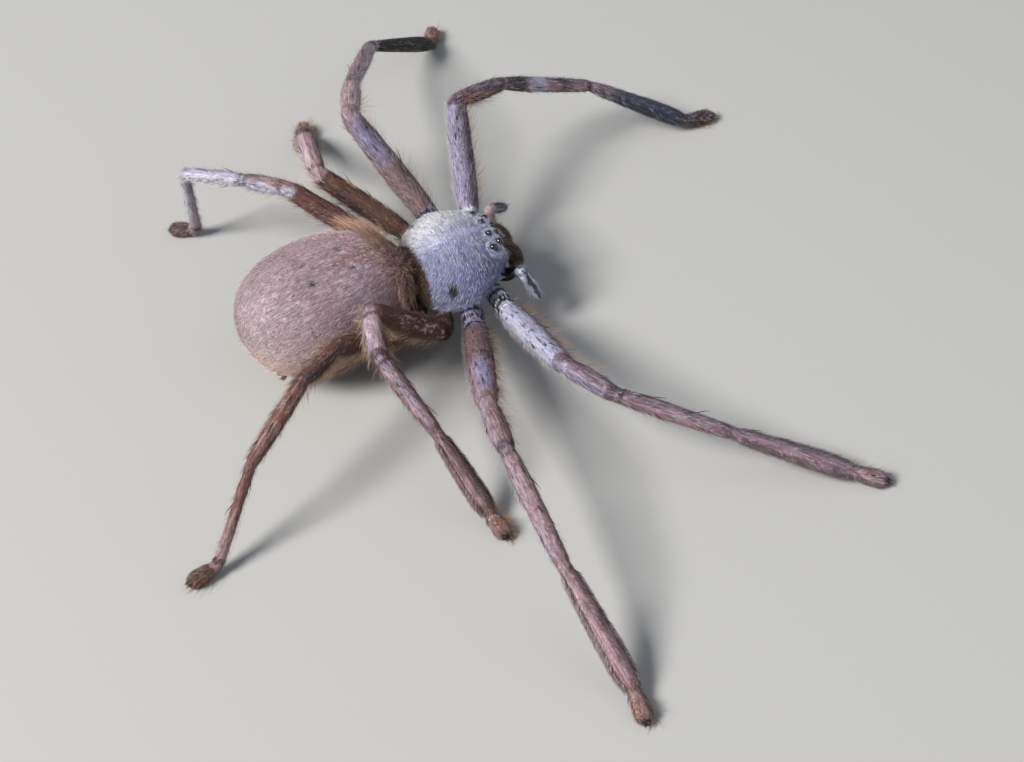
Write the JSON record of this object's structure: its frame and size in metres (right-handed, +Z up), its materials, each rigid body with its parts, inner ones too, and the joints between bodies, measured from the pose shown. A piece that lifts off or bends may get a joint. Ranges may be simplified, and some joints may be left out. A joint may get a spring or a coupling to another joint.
{
  "type": "huntsman spider",
  "caption": "Life-size huntsman spider standing with its legs spread flat to the sides, as a still natural history model.",
  "frame": {"origin": "on the floor, under the middle of the model's bounding box", "axes": "+Z up from the floor; the spider faces -Y, its left side is +X"},
  "size_m": [0.0998, 0.0688, 0.0152],
  "materials": {
    "carapace": "short lilac-grey hair on a smooth shield",
    "sternum": "dark brown, thinly haired",
    "abdomen": "close pinkish brown hair",
    "coxa": "cream and dark bands",
    "femur": "close lilac-grey hair with dark flecks",
    "patella": "close purple-brown hair",
    "tibia": "purple-brown hair with dark streaks and spines",
    "foot": "dark brushed hair",
    "palp": "whitish lilac hair",
    "chelicera": "dark brown with bristles",
    "fang": "glossy black-brown",
    "eye": "glossy black"
  },
  "bodies": {
    "root": {"carapace": "carapace", "sternum": "sternum", "abdomen": "abdomen", "spinnerets": "abdomen", "eye_anterior_median_left": "eye", "eye_anterior_median_right": "eye", "eye_anterior_lateral_left": "eye", "eye_anterior_lateral_right": "eye", "eye_posterior_median_left": "eye", "eye_posterior_median_right": "eye", "eye_posterior_lateral_left": "eye", "eye_posterior_lateral_right": "eye", "chelicera_left": "chelicera", "fang_left": "fang", "palp_base_left": "palp", "palp_tip_left": "palp", "coxa_left_1": "coxa", "femur_left_1": "femur", "patella_left_1": "patella", "tibia_left_1": "tibia", "foot_left_1": "foot", "coxa_left_2": "coxa", "femur_left_2": "femur", "patella_left_2": "patella", "tibia_left_2": "tibia", "foot_left_2": "foot", "coxa_left_3": "coxa", "femur_left_3": "femur", "patella_left_3": "patella", "tibia_left_3": "tibia", "foot_left_3": "foot", "coxa_left_4": "coxa", "femur_left_4": "femur", "patella_left_4": "patella", "tibia_left_4": "tibia", "foot_left_4": "foot", "chelicera_right": "chelicera", "fang_right": "fang", "palp_base_right": "palp", "palp_tip_right": "palp", "coxa_right_1": "coxa", "femur_right_1": "femur", "patella_right_1": "patella", "tibia_right_1": "tibia", "foot_right_1": "foot", "coxa_right_2": "coxa", "femur_right_2": "femur", "patella_right_2": "patella", "tibia_right_2": "tibia", "foot_right_2": "foot", "coxa_right_3": "coxa", "femur_right_3": "femur", "patella_right_3": "patella", "tibia_right_3": "tibia", "foot_right_3": "foot", "coxa_right_4": "coxa", "femur_right_4": "femur", "patella_right_4": "patella", "tibia_right_4": "tibia", "foot_right_4": "foot"}
  },
  "joints": []
}
